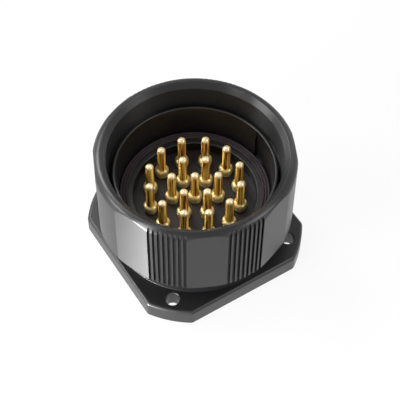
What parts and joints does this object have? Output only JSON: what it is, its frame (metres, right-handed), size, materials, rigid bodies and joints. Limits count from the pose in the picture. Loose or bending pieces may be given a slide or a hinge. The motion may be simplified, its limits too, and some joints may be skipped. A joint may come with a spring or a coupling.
{
  "type": "multi-pin circular connector",
  "caption": "Round multi-pin panel connector: square screw-down flange, sleeve with gold pins and solder cups, and a ribbed coupling ring that turns freely on the neck.",
  "frame": {"origin": "on the connector's axis, in the flange's back face that lies against the panel", "axes": "+Z along the axis towards the mating side, +Y towards the master keyway, X and Y square with the flange"},
  "size_m": [0.057, 0.057, 0.047],
  "materials": {
    "black_anodised_shell": "black anodised, satin",
    "black_anodised_ring": "black anodised, semi-gloss",
    "washer_steel": "stainless steel, rolled",
    "spring_steel": "spring steel, blackened",
    "seal_rubber": "moulded rubber, matt",
    "insulator_plastic": "moulded thermoset, satin",
    "gold_contact": "gold plated, polished"
  },
  "bodies": {
    "receptacle": {"flange_shell": "black_anodised_shell", "friction_washer": "washer_steel", "snap_ring": "spring_steel", "coupling_seal": "seal_rubber", "face_seal": "seal_rubber", "front_insulator": "insulator_plastic", "rear_insulator": "insulator_plastic", "insert_retainer": "black_anodised_shell", "contact_01": "gold_contact", "contact_02": "gold_contact", "contact_03": "gold_contact", "contact_04": "gold_contact", "contact_05": "gold_contact", "contact_06": "gold_contact", "contact_07": "gold_contact", "contact_08": "gold_contact", "contact_09": "gold_contact", "contact_10": "gold_contact", "contact_11": "gold_contact", "contact_12": "gold_contact", "contact_13": "gold_contact", "contact_14": "gold_contact", "contact_15": "gold_contact", "contact_16": "gold_contact", "contact_17": "gold_contact", "contact_18": "gold_contact", "contact_19": "gold_contact"},
    "grip": {"coupling_ring": "black_anodised_ring"}
  },
  "joints": [
    {"name": "ring_spin", "type": "hinge", "parent": "receptacle", "child": "grip", "pos_m": [0, 0, 0.0254], "axis": [0, 0, 1], "continuous": true}
  ]
}
